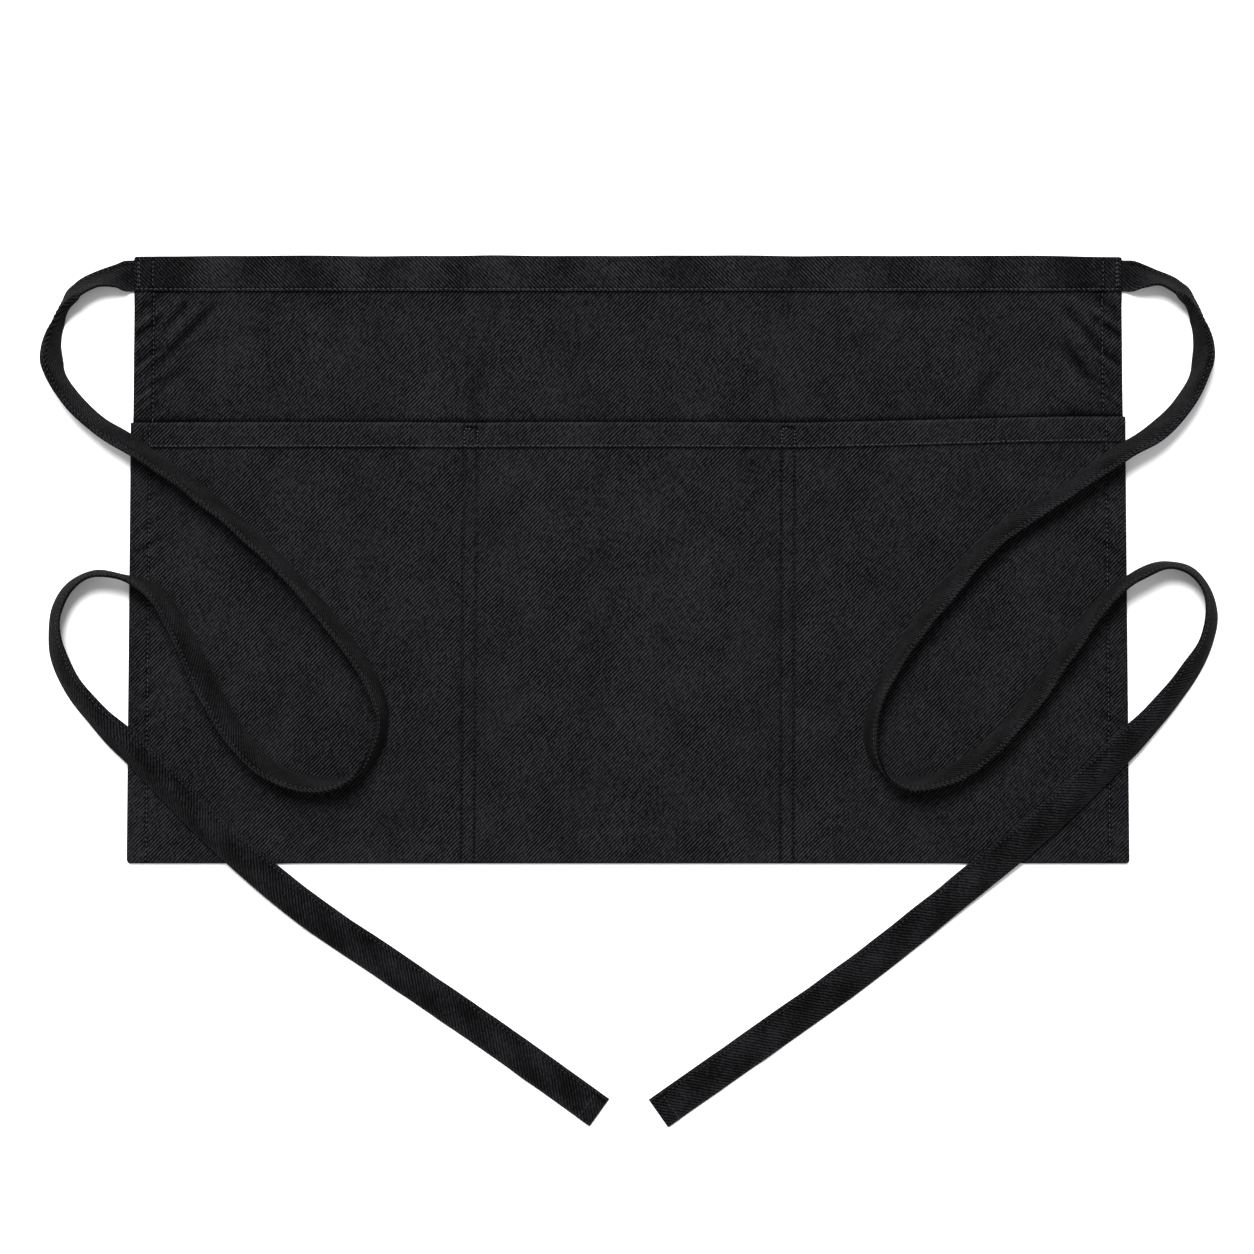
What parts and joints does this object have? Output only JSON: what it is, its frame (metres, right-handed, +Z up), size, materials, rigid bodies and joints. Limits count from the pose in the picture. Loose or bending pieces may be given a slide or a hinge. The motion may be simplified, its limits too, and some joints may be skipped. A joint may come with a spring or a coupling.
{
  "type": "waist apron",
  "caption": "Short cotton twill waist apron with a pocket panel stitched into three pockets, a folded waistband and two long flat ties, lying flat.",
  "frame": {"origin": "middle of the apron's rectangle, without the ties, on the surface it lies on", "axes": "+Z up out of the apron's front face, +Y towards the waistband, +X to the right as seen from the front"},
  "size_m": [0.6603, 0.4878, 0.0259],
  "materials": {
    "twill": "matt charcoal-black cotton twill with a fine diagonal rib",
    "tie_tape": "the same twill folded into a flat tape, with lighter folded edges"
  },
  "bodies": {
    "root": {"body_panel": "twill", "pocket_panel": "twill", "waistband": "twill", "tie_left": "tie_tape", "tie_right": "tie_tape"}
  },
  "joints": []
}
